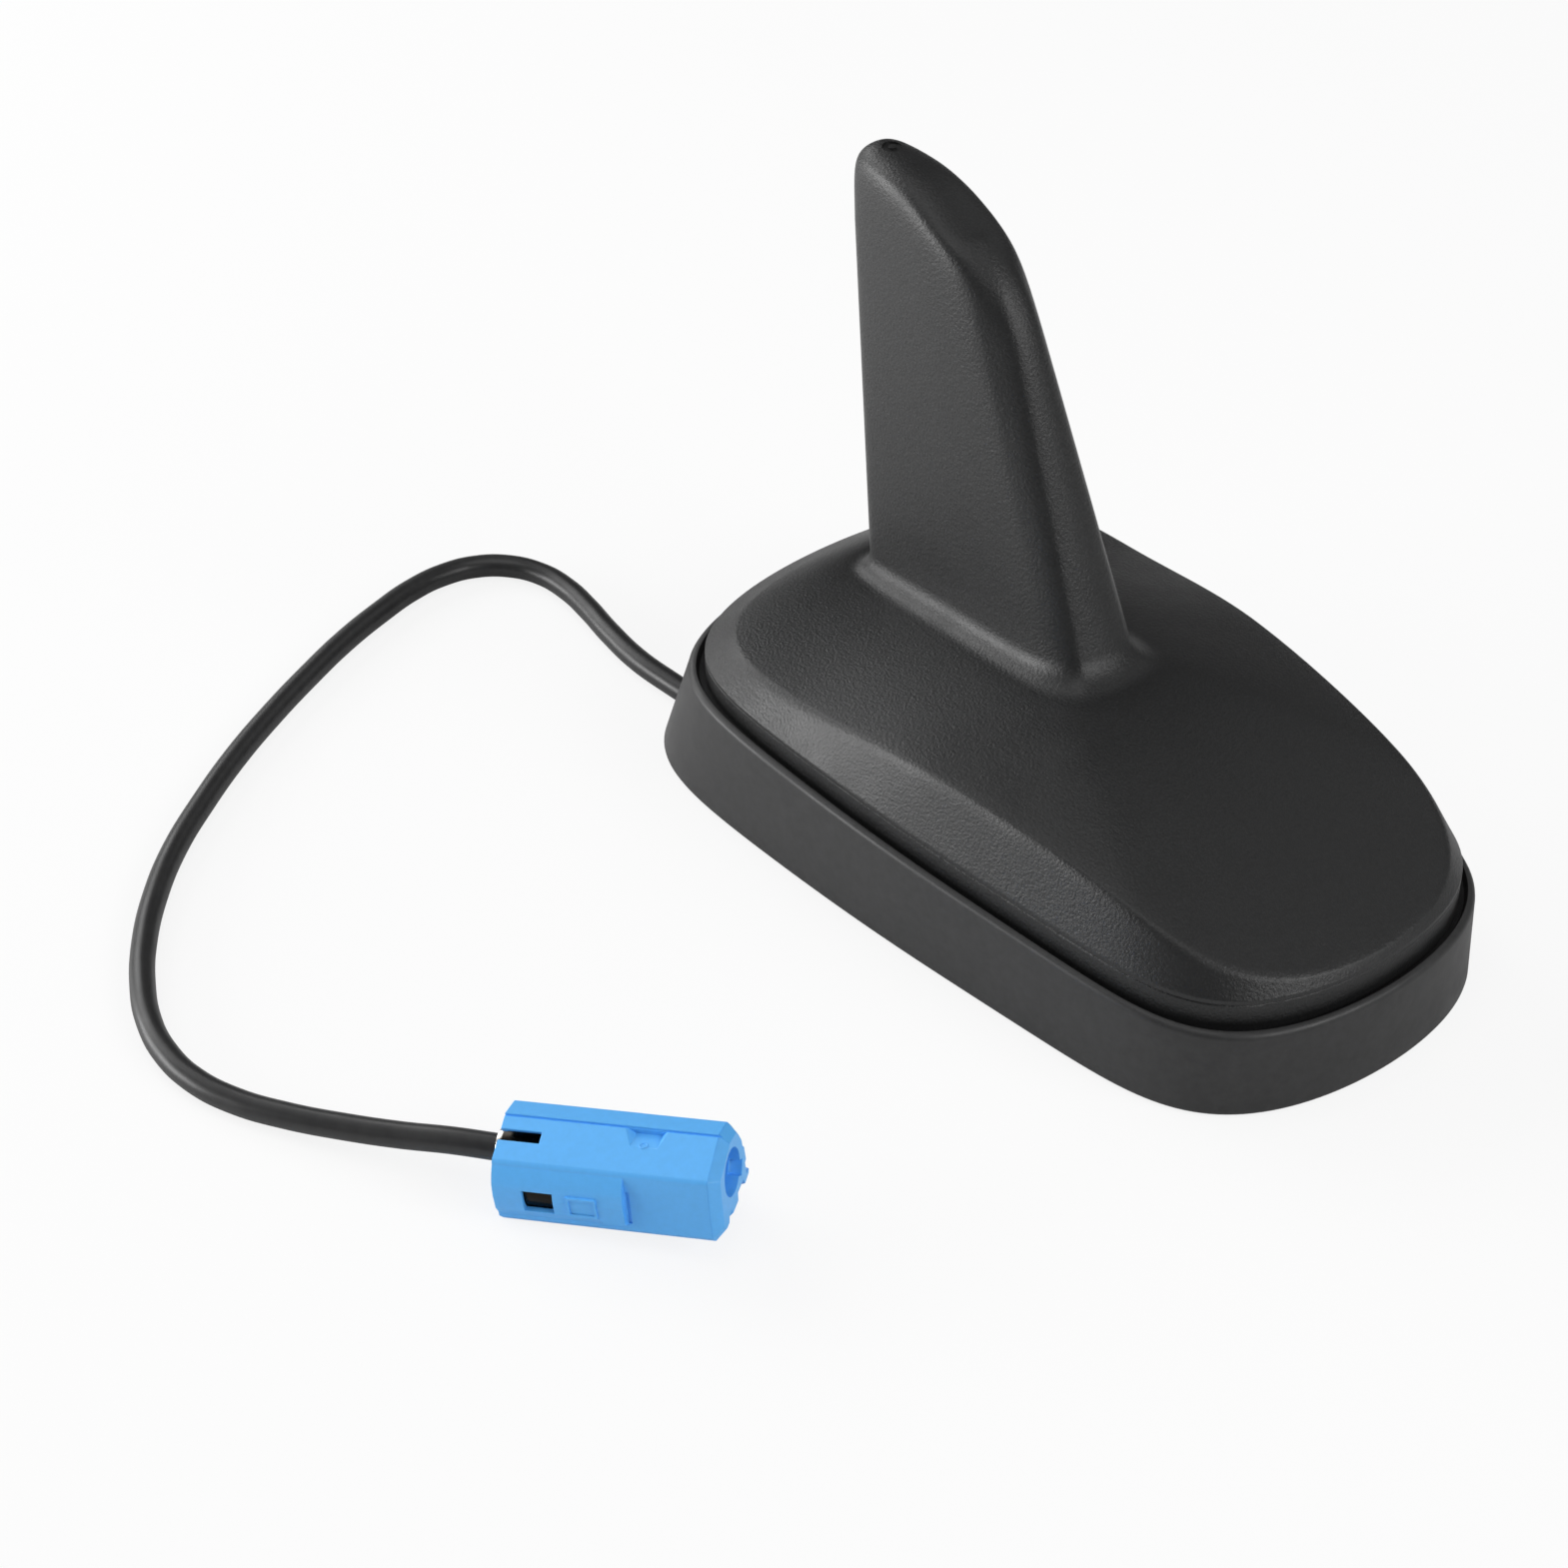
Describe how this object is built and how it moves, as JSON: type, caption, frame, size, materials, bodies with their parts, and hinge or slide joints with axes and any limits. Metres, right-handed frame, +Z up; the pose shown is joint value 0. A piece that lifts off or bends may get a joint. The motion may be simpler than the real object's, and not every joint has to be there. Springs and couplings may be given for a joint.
{
  "type": "shark fin roof aerial",
  "caption": "Shark fin roof aerial: black moulded fin cover on a wedge rubber gasket, with a short coaxial lead and a light blue connector",
  "frame": {"origin": "centre of the rubber foot, on the roof plane", "axes": "+X to the low nose, which faces the car's front, +Y to the car's left, +Z up from the roof"},
  "size_m": [0.1445, 0.1388, 0.0775],
  "materials": {
    "cover_plastic": "fine-grained satin",
    "gasket_rubber": "smooth satin",
    "seal_rubber": "satin",
    "die_cast": "as cast",
    "insert_brass": "turned",
    "zinc_steel": "bright zinc",
    "board_laminate": "solder mask",
    "tinned_sheet": "tinned",
    "gold_contact": "gold plated",
    "ceramic": "fired ceramic",
    "natural_plastic": "moulded",
    "pad_foam": "foam tape",
    "cable_jacket": "semi-gloss sheath",
    "housing_blue": "satin moulded",
    "nickel": "nickel plated",
    "insulator_white": "smooth"
  },
  "bodies": {
    "root": {"fin_cover": "cover_plastic", "rubber_gasket": "gasket_rubber", "base_plate": "die_cast", "thread_insert": "insert_brass", "ground_ring": "zinc_steel", "mount_seal": "seal_rubber", "amplifier_board": "board_laminate", "shield_can": "tinned_sheet", "fin_board": "board_laminate", "fin_board_holder": "natural_plastic", "contact_clips": "gold_contact", "top_load_cap": "tinned_sheet", "patch_antenna": "ceramic", "patch_pad": "pad_foam", "patch_pin": "gold_contact", "board_screws": "zinc_steel", "cover_screws": "zinc_steel", "cable_ferrule": "nickel", "cable_clamp": "zinc_steel", "lead_pin": "gold_contact", "coax_cable": "cable_jacket", "connector_housing": "housing_blue", "connector_ferrule": "nickel", "connector_shell": "gold_contact", "connector_insulator": "insulator_white", "centre_contact": "gold_contact", "socket_insert": "housing_blue"}
  },
  "joints": []
}
